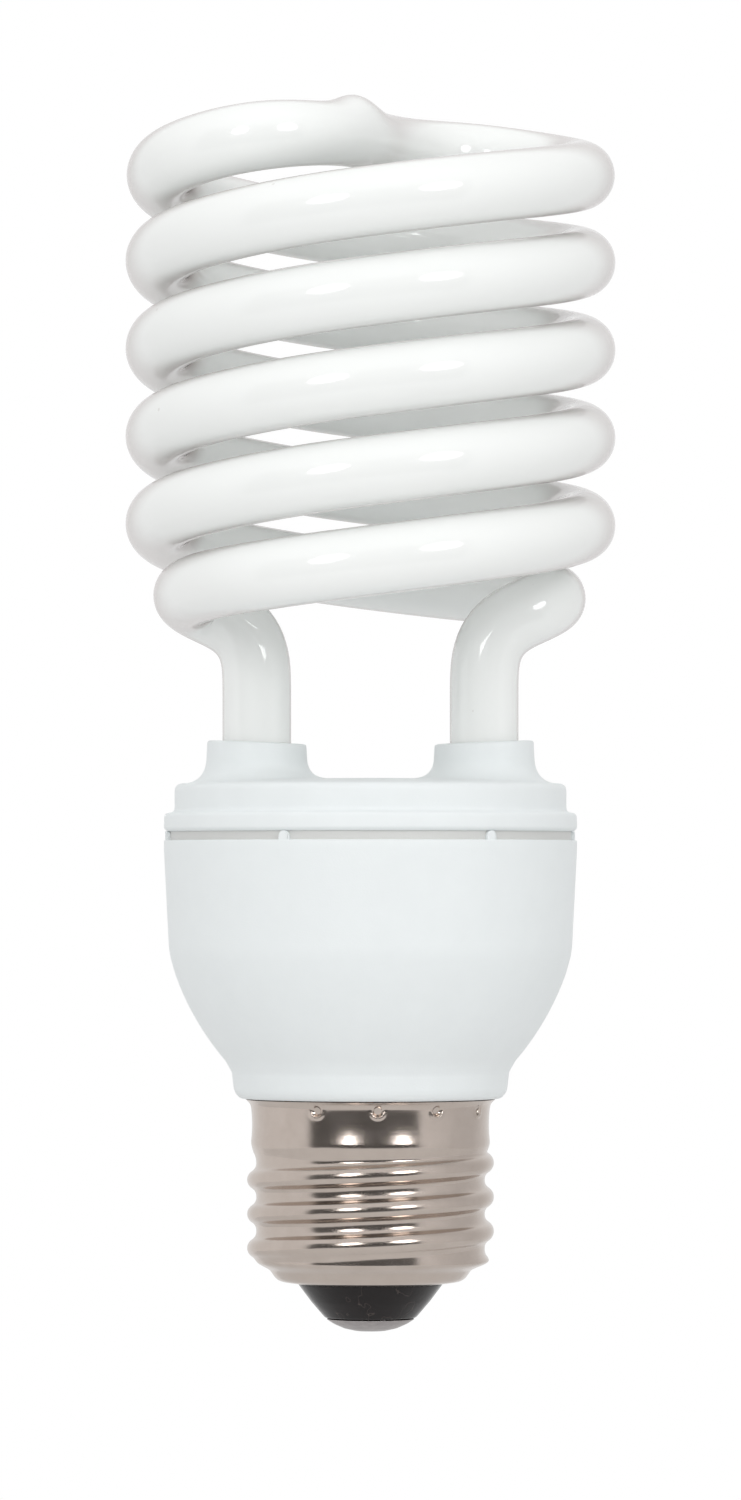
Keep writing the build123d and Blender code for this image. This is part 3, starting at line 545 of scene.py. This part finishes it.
# %% Nickel plate
def nickel_plate(place):
    """Metal whose roughness and bump follow noise that is drawn out round the axis."""
    lines = noise(stretch(place, 0.12, 0.12, 6.0), 1.0, 3.0)
    clouds = noise(place, 2.5, 4.0, 0.6)
    return {
        "Base Color": blend(place, clouds, (0.50, 0.43, 0.38), (0.61, 0.535, 0.485)),
        "Metallic": 1.0,
        "Roughness": 0.13 + lines * 0.06 + clouds * 0.06,
        "Normal": bumps(place, lines + clouds * 2.0, 0.006),
    }


screw_shell.data.materials.append(make_material("nickel_plate", nickel_plate))
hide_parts("screw_shell")
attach(screw_shell, "root")

# %% [markdown]
# ## The insulator and the contact
# Below the shell the base ends in a cone of black glass, with a domed metal contact riveted through it. Both
# are turned shapes, so each is one profile carried round the axis.

# %% Turned pieces
TURNED_SIDES = 192


def turned(name, profile, cut):
    """A profile of radius and height carried round the axis. It starts and ends near the axis."""
    return skin(name, carried_round(rounded_path(profile, cut), TURNED_SIDES), crease=50)


insulator = turned("black_glass_insulator", [
    (1.5, 1.4), (4.8, 1.4), (6.3, 3.15), (7.7, 5.03), (7.7, 5.55), (9.3, 5.55), (9.9, 6.5), (10.3, 7.6),
    (1.5, 7.6),
], 0.25)
contact = turned("domed_contact", [
    (0.9, 0.0), (1.6, 0.03), (2.8, 0.3), (3.9, 0.78), (4.7, 1.3), (4.2, 1.38), (1.8, 1.38), (1.4, 1.5),
    (1.4, 7.6), (0.9, 7.6),
], 0.15)

# %% [markdown]
# The black glass is cast, with a few pale veins where it cooled first: a vein is the thin band in which a
# noise is near its middle. The contact is dull tinned metal, cloudy from handling.

# %% Black glass and tinned contact
def black_glass(place):
    """Nearly black glass with veins where a stretched noise lies between 0.5 and 0.508."""
    cloud = noise(place, 1.2, 4.0, 0.6)
    vein = noise(stretch(place, 1.0, 1.0, 0.25), 2.2, 2.0)
    thin = (vein > 0.5) * (vein < 0.508)
    dark = blend(place, cloud, (0.004, 0.003, 0.003), (0.012, 0.008, 0.008))
    return {
        "Base Color": blend(place, thin * 0.35, dark, (0.13, 0.10, 0.09)),
        "Roughness": 0.12 + cloud * 0.16,
        "Specular IOR Level": 0.3,
        "Normal": bumps(place, cloud, 0.03),
    }


def tinned_contact(place):
    """Cloudy metal that is rougher where it is paler."""
    cloud = noise(place, 0.9, 4.0, 0.65)
    return {
        "Base Color": blend(place, cloud, (0.24, 0.22, 0.22), (0.52, 0.485, 0.475)),
        "Metallic": 1.0,
        "Roughness": 0.26 + cloud * 0.22,
        "Normal": bumps(place, cloud, 0.04),
    }


insulator.data.materials.append(make_material("black_glass", black_glass))
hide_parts("base_insulator")
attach(insulator, "root")
contact.data.materials.append(make_material("tinned_contact", tinned_contact))
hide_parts("centre_contact")
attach(contact, "root")

# %% [markdown]
# ## The housing
# The housing is a moulded cup: a short neck that carries the shell, a round bowl, an upright wall and a lip
# that the cap sits on. Its outside is two straight stretches with a bulged one between them, carried round
# the axis, which gives a smoother wall than the solid's facets.

# %% The wall of the housing
ROUND_SIDES = 240
BAND_LEVEL = 28.0
RIM_RADIUS = 21.93
RIM_LEVEL = 52.1
LIP_RADIUS = 21.3
LIP_HEIGHT = 2.5


def bowl_path(start, end, bulge, count=24):
    """A round wall between two points: the straight line plus a bulge that follows 4t(1-t), square to it."""
    start, end = np.array(start), np.array(end)
    t = np.linspace(0, 1, count)[:, None]
    out = np.array([end[1] - start[1], start[0] - end[0]]) / np.linalg.norm(end - start)
    return start + t * (end - start) + 4 * t * (1 - t) * bulge * out


def housing_rings():
    """The wall's outside from the foot up to the lip, then its inside down again, carried round the axis."""
    foot = rounded_path([
        (12.3, 24.7), (13.9, 24.7), (14.5, 25.5), (14.72, BAND_LEVEL - 0.5), (15.0, BAND_LEVEL), (15.4, 28.7)
    ], 0.5)
    bowl = bowl_path((15.4, 28.7), (21.42, 40.1), 0.72)
    wall = rounded_path([bowl[-4], (21.38, 40.3), (RIM_RADIUS, RIM_LEVEL - 1.0)], 5.0, 12)
    rim = rounded_path([
        (RIM_RADIUS, RIM_LEVEL - 1.0), (RIM_RADIUS, RIM_LEVEL), (LIP_RADIUS, RIM_LEVEL),
        (LIP_RADIUS, RIM_LEVEL + LIP_HEIGHT), (LIP_RADIUS - 1.1, RIM_LEVEL + LIP_HEIGHT),
        (20.4, RIM_LEVEL - 1.5), (19.9, 40.1), (13.8, 28.6), (12.3, 27.0), (12.3, 24.7),
    ], 0.12)
    return carried_round(np.vstack([foot[:-1], bowl[:-4], wall[1:-1], rim[:-1]]), ROUND_SIDES)


housing = skin("ballast_housing_wall", housing_rings(), ends="joined", crease=35)

# %% [markdown]
# Six nibs on the rim hold the cap off, which leaves the thin dark seam round the lamp. Each is a small block
# with a domed top: a rounded rectangle in plan, whose width shrinks ring by ring towards the top.

# %% The nibs on the rim
NIB_COUNT = 6
NIB_TURN = 5.5
NIB_WIDTH = 1.2
NIB_CORNER = 0.3
GROOVE = 0.95
NIB_STEPS = ((-0.1, 1.0), (0.25, 1.0), (0.6, 0.92), (0.8, 0.75), (0.93, 0.5), (1.0, 0.25))


def nib_rings(index):
    """One nib: its four corners in plan, rounded, on the rim's circle, from the rim up to the cap. Each step is
    a share of the groove's height and the share of the width that is left there."""
    corner = np.array([(1, 1), (-1, 1), (-1, -1), (1, -1), (1, 1)], float)
    side = corner[:1] * [1, 0]
    plan = rounded_path(np.vstack([side, corner, side]), NIB_CORNER, 4)[1:-1]
    radius = (RIM_RADIUS + LIP_RADIUS) / 2 - 0.1 + plan[:, 0] * (RIM_RADIUS - LIP_RADIUS) / 2
    middle = NIB_TURN + index * 360 / NIB_COUNT
    degrees = middle + np.degrees(plan[:, 1] * NIB_WIDTH / 2 / RIM_RADIUS)
    return np.stack([
        around_axis(radius, middle + (degrees - middle) * share, RIM_LEVEL + GROOVE * rise)
        for rise, share in NIB_STEPS
    ])


nibs = [skin("rim_nib_" + str(index + 1), nib_rings(index), crease=40) for index in range(NIB_COUNT)]

# %% [markdown]
# ## The cap
# The cap is a lid with two steps down to the seam and a face that is slightly crowned, so that the mould
# shrinks evenly. It is turned round the axis as the housing is.

# %% The lid
LID_RADIUS = 20.8
LID_FACE = 58.1
LID_CROWN = 0.6
LID_SHOULDER = 2.2


def lid_face(across):
    """The level of the lid's face at a distance from the axis: it falls as the square from the crown."""
    return LID_FACE + LID_CROWN * (1 - (across / (LID_RADIUS - 0.9)) ** 2)


def lid_rings():
    """The lid's outside from the crown down over its two steps to the lower edge, then its inside up again."""
    across = np.linspace(0.5, LID_RADIUS - LID_SHOULDER, 24)
    face = np.stack([across, lid_face(across)], -1)
    shoulder = rounded_path([face[-1], (LID_RADIUS, LID_FACE), (LID_RADIUS, 56.2)], 0.95, 12)
    edge = RIM_LEVEL + GROOVE
    step = rounded_path([
        (LID_RADIUS, 56.2), (LID_RADIUS, 55.1), (RIM_RADIUS - 0.05, 54.95), (RIM_RADIUS, 54.0),
        (RIM_RADIUS, edge + 0.3), (RIM_RADIUS - 0.35, edge), (LIP_RADIUS + 0.05, edge),
        (LIP_RADIUS + 0.05, 54.7), (19.4, 54.8), (19.4, 56.6), (0.5, 56.6),
    ], 0.5, 8)
    return carried_round(np.vstack([face[:-1], shoulder[:-1], step]), ROUND_SIDES)


cap_lid = skin("cap_lid", lid_rings(), crease=35)

# %% [markdown]
# A collar stands round each leg, and its foot flows into the lid. The lid's face is crowned and the collar's
# top is slightly tilted, so each point of a plain sleeve is set between those two levels by its share of the
# height. That bends the sleeve to both without a boolean cut.

# %% The collars
COLLAR_SIDES = 128
COLLAR_TOP = 62.5
COLLAR_HEIGHT = 4.2
COLLAR_TILT = math.tan(math.radians(2.3))


def collar_rings(side):
    """A sleeve round the leg on one side, whose foot is a parabola that ends flat on the lid. The share of its
    height that a point has reached mixes two levels: that of the lid's crowned face below it, and that of
    the sleeve's tilted top above it."""
    t = np.linspace(0, 1, 16)[:, None]
    foot = (1 - t) ** 2 * [7.9, 0.0] + 2 * t * (1 - t) * [5.42, 0.0] + t**2 * [5.34, 2.5]
    sleeve = rounded_path([(5.34, 2.5), (5.26, COLLAR_HEIGHT), (3.76, COLLAR_HEIGHT), (3.76, -0.8)], 0.35)
    profile = np.vstack([[(8.4, -0.3)], foot[:-1], sleeve])
    angle = np.linspace(0, 2 * np.pi, COLLAR_SIDES, endpoint=False)[None, :]
    x = side * (LEG_PLACE + profile[:, :1] * np.cos(angle))
    y = profile[:, :1] * np.sin(angle)
    low = lid_face(np.hypot(x, y))
    high = COLLAR_TOP + (side * x - LEG_PLACE) * COLLAR_TILT
    share = profile[:, 1:] / COLLAR_HEIGHT
    return np.stack([x, y, low + (high - low) * share], -1)


collars = [
    skin("leg_collar_right", collar_rings(1), ends="joined", crease=40),
    skin("leg_collar_left", collar_rings(-1), ends="joined", crease=40),
]

# %% [markdown]
# Housing and cap are moulded in one plain white, slightly cool, with a fine spark-eroded texture. Light that
# falls into the seam comes out a little warmer and darker, so the lip behind the seam is given painted shade: a
# warm grey in its colour, which a mask picks out by its level and its distance from the axis.

# %% Moulded plastic
def moulded_white(place):
    """White plastic with a fine grain, and a warm grey painted shade on the lip behind the seam."""
    fine = noise(place, 0.16, 2.0)
    clouds = noise(place, 3.0, 3.0, 0.6)
    level = place.node("SeparateXYZ", output="Z", Vector=place)
    across = place.node("VectorMath", {"operation": "LENGTH"}, output="Value", Vector=stretch(place, 1, 1, 0))
    in_groove = (level > RIM_LEVEL + 0.02) * (level < RIM_LEVEL + GROOVE - 0.02)
    # painted shade: the lip behind the seam gets a warm grey in its colour, standing in for the darker light in
    # the recess
    seam = in_groove * (across < LIP_RADIUS + 0.05)
    white = blend(place, clouds, (0.80, 0.835, 0.84), (0.835, 0.87, 0.875))
    return {
        "Base Color": blend(place, seam * 0.45, white, (0.50, 0.46, 0.42)),
        "Roughness": 0.42 + fine * 0.14,
        "Normal": bumps(place, fine, 0.012),
    }


white_plastic = make_material("moulded_white", moulded_white)
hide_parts("ballast_housing")
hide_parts("top_cap")
for piece in (housing, *nibs, cap_lid, *collars):
    piece.data.materials.append(white_plastic)
    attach(piece, "root")

# %% [markdown]
# ## The pieces inside
# The ballast can't be seen through the closed housing, but each piece still has its own finish: a reader who
# hides the housing sees a real circuit. The finishes differ in colour, gloss and grain, so one recipe with a
# few numbers serves them all.

# %% A recipe for small parts
def small_part(name, dark, light, rough, grain, metallic=0.0, depth=0.01, way=(1, 1, 1), coat=0.0):
    """A material that goes between two colours over a noise of one grain, in millimetres."""

    def recipe(place):
        """One noise sets the colour, the roughness and the bump."""
        cloud = noise(stretch(place, *way), grain, 3.0)
        return {
            "Base Color": blend(place, cloud, dark, light),
            "Metallic": metallic,
            "Roughness": rough + cloud * 0.12,
            "Coat Weight": coat,
            "Normal": bumps(place, cloud, depth),
        }

    return make_material(name, recipe)


# %% [markdown]
# Solder is bright where it set, tinned leads are a little duller, and the windings are copper under clear
# enamel. The copper's noise is drawn out sideways, so that it looks like turns of wire on top of each other.

# %% Metals and windings
solder = small_part("bright_solder", (0.42, 0.42, 0.43), (0.62, 0.62, 0.63), 0.22, 0.5, metallic=1.0)
copper = small_part(
    "enamelled_copper", (0.42, 0.13, 0.04), (0.62, 0.24, 0.09), 0.25, 0.35, metallic=1.0, way=(0.3, 0.3, 3),
    depth=0.05,
)
tinned = small_part("tinned_wire", (0.50, 0.50, 0.50), (0.68, 0.68, 0.67), 0.28, 0.4, metallic=1.0)

# %% [markdown]
# The board is brown paper laminate with its fibres one way, the cement is rough and chalky, and the cores are
# fired ferrite, nearly black. The cases and the bobbin are black with a low gloss, and the can's sleeve is a
# shrunk film with a clear gloss of its own.

# %% Board, cement, cores and cases
cement = small_part("lamp_cement", (0.60, 0.57, 0.50), (0.72, 0.69, 0.62), 0.85, 0.4, depth=0.06)
laminate = small_part("paper_laminate", (0.36, 0.22, 0.07), (0.46, 0.30, 0.11), 0.5, 0.8, way=(0.3, 1, 1))
ferrite = small_part("ferrite", (0.012, 0.012, 0.013), (0.035, 0.034, 0.034), 0.55, 0.5, depth=0.02)
resin = small_part("black_resin", (0.010, 0.010, 0.011), (0.020, 0.020, 0.021), 0.38, 0.3)
bobbin = small_part("bobbin_nylon", (0.014, 0.014, 0.014), (0.025, 0.025, 0.025), 0.45, 0.6)
sleeve = small_part("can_sleeve", (0.008, 0.009, 0.018), (0.014, 0.015, 0.028), 0.2, 3.0, coat=0.5)
rubber = small_part("bung_rubber", (0.010, 0.010, 0.010), (0.022, 0.022, 0.022), 0.75, 0.3, depth=0.02)

# %% [markdown]
# Two capacitors and the diac have a thick glossy skin of resin, and resistors are lacquered. The disc has a
# duller coating, and the braided sleeve is matt. Only the glossy skins get a coat.

# %% Dipped and painted finishes
dipped = small_part(
    "dipped_resin", (0.20, 0.022, 0.008), (0.30, 0.040, 0.014), 0.18, 1.2, coat=0.6, depth=0.03
)
lacquer = small_part("resistor_lacquer", (0.45, 0.33, 0.17), (0.56, 0.43, 0.25), 0.3, 0.7, coat=0.3)
disc = small_part("disc_coating", (0.015, 0.075, 0.035), (0.028, 0.11, 0.055), 0.35, 0.6, depth=0.03)
braid = small_part(
    "glass_braid", (0.55, 0.52, 0.42), (0.74, 0.71, 0.62), 0.8, 0.25, way=(1, 1, 0.6), depth=0.05
)

# %% [markdown]
# The solids inside keep their shapes, which are right as they are, and each only gets its finish.

# %% Give each inner piece its finish
def paint(names, material, slot):
    """Gives a material to every slot of these solids."""
    for name in names:
        for material_slot in nodes[name].material_slots:
            material_slot.material = material
    print(slot, "is on", len(names), "nodes")


paint(["contact_solder", "solder_joints"], solder, "solder")
paint(["tube_cement"], cement, "cement")
paint(["circuit_board"], laminate, "board")
paint(["choke_winding", "transformer_windings", "live_wire", "neutral_wire"], copper, "copper_wire")
paint(["choke_pins", "wrap_pins", "tube_leads"], tinned, "tinned_wire")
paint(["choke_core", "transformer_ring", "filter_choke"], ferrite, "ferrite")
paint(["switching_transistors", "rectifier_diodes"], resin, "black_resin")
paint(["choke_bobbin"], bobbin, "bobbin_plastic")
paint(["smoothing_capacitor"], sleeve, "can_sleeve")
paint(["capacitor_bung"], rubber, "bung_rubber")
paint(["trigger_diac", "resonant_capacitor", "coupling_capacitor"], dipped, "dipped_resin")
paint(["resistors", "fusible_resistor"], lacquer, "resistor_paint")
paint(["start_thermistor"], disc, "disc_resin")
paint(["fuse_sleeve"], braid, "sleeve_fabric")

# %% [markdown]
# ## The studio
# The photo has a pure white ground. The floor is a small pale table, because a wide one would hide the lower
# half of the tent's opening from the metal. Its colour is plain, and only the camera sees it glow to white,
# so the glow itself lights nothing.

# %% The floor, in metres
FLOOR_REACH = 0.3
FLOOR_LEVEL = -0.11
FLOOR_GLOW = 0.75
floor_mesh = bpy.data.meshes.new("pale_floor")
floor_corners = np.array([(-1, -1), (1, -1), (1, 1), (-1, 1)]) * FLOOR_REACH
floor_mesh.from_pydata([(x, y, FLOOR_LEVEL) for x, y in floor_corners.tolist()], [], [(0, 1, 2, 3)])
floor = bpy.data.objects.new("pale_floor", floor_mesh)
bpy.context.scene.collection.objects.link(floor)


def pale_floor(place):
    """A plain floor whose glow is white for camera rays and black for all others."""
    seen = place.node("LightPath", output="Is Camera Ray")
    return {
        "Base Color": (0.8, 0.8, 0.8, 1.0),
        "Roughness": 0.9,
        "Specular IOR Level": 0.0,
        "Emission Color": blend(place, seen, (0.0, 0.0, 0.0), (1.0, 1.0, 1.0)),
        "Emission Strength": FLOOR_GLOW,
    }


floor_mesh.materials.append(make_material("pale_floor", pale_floor))

# %% [markdown]
# The world is white for the camera and for what clear glass lets through. A lamp is photographed in a white
# tent with an opening in front, and the nickel shows that opening as a dark band: it is a darker window in
# the world, which only reflections see. Each direction is turned into a bearing, which is 0 towards the
# camera and grows to the right, and a rise above the horizon, both in degrees.

# %% Directions in the tent
DEGREES = 180 / math.pi
world = bpy.data.worlds.new("white_tent")
bpy.context.scene.world = world
world.use_nodes = True
background = world.node_tree.nodes["Background"]
sky = Wire(world.node_tree)
direction = sky.node("TexCoord", output="Generated")
east = sky.node("SeparateXYZ", output="X", Vector=direction)
north = sky.node("SeparateXYZ", output="Y", Vector=direction)
height = sky.node("SeparateXYZ", output="Z", Vector=direction)
bearing = sky.maths("ARCTAN2", east, 0 - north) * DEGREES
rise = sky.maths("ARCSINE", height) * DEGREES
print("the tent's directions take", len(world.node_tree.nodes), "nodes")

# %% [markdown]
# Two upright soft boxes stand in the opening. A lamp gives their light to matt surfaces, and a soft-edged oval
# in the world is their bright cloth, as gloss shows it. A single lamp could do both, but a matt surface then
# sets its strength, and its reflection in metal is lost. Each box is written as its bearing, half of its width
# and the watts of its lamp.

# %% The opening and the bright cloths, in degrees
OPENING_SIDES = (-61.0, 48.0)
OPENING_LEVELS = (-24.0, 30.0)
OPENING_EDGE = 3.0
BOX_LEVEL = 18.0
BOX_HALF_HEIGHT = 12.0
CLOTH_EDGE = (0.8, 1.15)
BOXES = {"left_box": (-21.0, 9.5, 1.3), "right_box": (32.0, 11.0, 1.3)}


def window(value, sides):
    """1 where the value is between the two sides and 0 outside them, with soft edges."""
    low, high = sides
    entered = rising(value, low - OPENING_EDGE, low + OPENING_EDGE)
    return entered * (1 - rising(value, high - OPENING_EDGE, high + OPENING_EDGE))


def cloth(middle, half_width):
    """1 inside an oval of the sky and 0 outside: the sum of the two squared distances from its middle, each
    as a share of its half axis, is below or above 1."""
    across = (bearing - middle) * (1 / half_width)
    above = (rise - BOX_LEVEL) * (1 / BOX_HALF_HEIGHT)
    return 1 - rising(across * across + above * above, *CLOTH_EDGE)


opening = window(bearing, OPENING_SIDES) * window(rise, OPENING_LEVELS)
cloths = sum(cloth(middle, half_width) for middle, half_width, watts in BOXES.values())
print("with the opening and the cloths,", len(world.node_tree.nodes), "nodes")

# %% [markdown]
# The tent is a little darker on the right, as the metal and the glass rims of the photo are. That darkness
# fades in past the right of the opening and out again behind the lamp, so that no edge shows at the back.

# %% The light of the tent
AMBIENT = 0.78
TENT_WHITE = 0.89
CLOTH_WHITE = 8.0
OPENING_DARKNESS = 0.87
RIGHT_FADES_IN = (45.0, 105.0)
RIGHT_FADES_OUT = (110.0, 170.0)
RIGHT_IN_GLOSS = 0.22
RIGHT_IN_AMBIENT = 0.12
camera_ray = sky.node("LightPath", output="Is Camera Ray")
clear_ray = sky.node("LightPath", output="Is Transmission Ray")
glossy_ray = sky.node("LightPath", output="Is Glossy Ray")
white_ray = sky.maths("MAXIMUM", camera_ray, clear_ray)
right_side = rising(bearing, *RIGHT_FADES_IN) * (1 - rising(bearing, *RIGHT_FADES_OUT))
tent = (1 - opening * OPENING_DARKNESS) * (1 - right_side * RIGHT_IN_GLOSS) * TENT_WHITE
tent = tent + cloths * CLOTH_WHITE
even_light = (1 - right_side * RIGHT_IN_AMBIENT) * AMBIENT
other_ray = 1 - white_ray - glossy_ray
sky.put(background.inputs["Strength"], white_ray + glossy_ray * tent + other_ray * even_light)
background.inputs["Color"].default_value = (1.0, 1.0, 1.0, 1.0)
print("the whole world takes", len(world.node_tree.nodes), "nodes")

# %% [markdown]
# Three lamps light the matt surfaces: the two soft boxes in front and a large one overhead. They are weak,
# because the tent already gives most of the light and white plastic clips to pure white soon.

# %% The lamps, in metres and watts
LAMP_MIDDLE = 0.07
BOX_DISTANCE = 1.0


def soft_box(name, bearing_degrees, rise_degrees, distance, width, tall, watts):
    """A lamp on a sphere round the middle of the object, turned to face it. Only matt surfaces see it."""
    lamp = bpy.data.lights.new(name, "AREA")
    lamp.shape = "ELLIPSE"
    lamp.size, lamp.size_y = width, tall
    lamp.energy = watts
    holder = bpy.data.objects.new(name, lamp)
    bpy.context.scene.collection.objects.link(holder)
    a, e = math.radians(bearing_degrees), math.radians(rise_degrees)
    way = np.array([math.sin(a) * math.cos(e), -math.cos(a) * math.cos(e), math.sin(e)])
    holder.location = way * distance + np.array([0, 0, LAMP_MIDDLE])
    holder.rotation_euler = (math.pi / 2 - e, 0, a)
    holder.visible_camera = False
    holder.visible_glossy = False
    print(name, "gives", watts, "W")


for name, (middle, half_width, watts) in BOXES.items():
    width, tall = 2 * math.radians(half_width), 2 * math.radians(BOX_HALF_HEIGHT)
    soft_box(name, middle, BOX_LEVEL, BOX_DISTANCE, width, tall, watts)
soft_box("top_box", 0.0, 78.0, distance=1.2, width=1.4, tall=1.4, watts=3.0)

# %% [markdown]
# ## The camera
# The photo was taken level and from some way off: the rims of the housing are flat ellipses that open a little
# above and below the middle. The lens is long, and the frame is shifted up rather than tilted, so upright
# lines stay upright.

# %% The camera, in metres
CAMERA_DISTANCE = 0.85
CAMERA_LEVEL = 0.0482
camera_data = bpy.data.cameras.new("camera")
camera_data.lens = 192.1
camera_data.sensor_width = 36.0
camera_data.shift_y = 0.0847
camera_data.clip_start = 0.01
camera_data.clip_end = 60.0
camera = bpy.data.objects.new("camera", camera_data)
bpy.context.scene.collection.objects.link(camera)
camera.location = (0.0, -CAMERA_DISTANCE, CAMERA_LEVEL)
camera.rotation_euler = (math.pi / 2, 0, 0)
bpy.context.scene.camera = camera
bpy.context.scene.view_settings.view_transform = "Standard"
print("the camera stands", CAMERA_DISTANCE, "m in front")
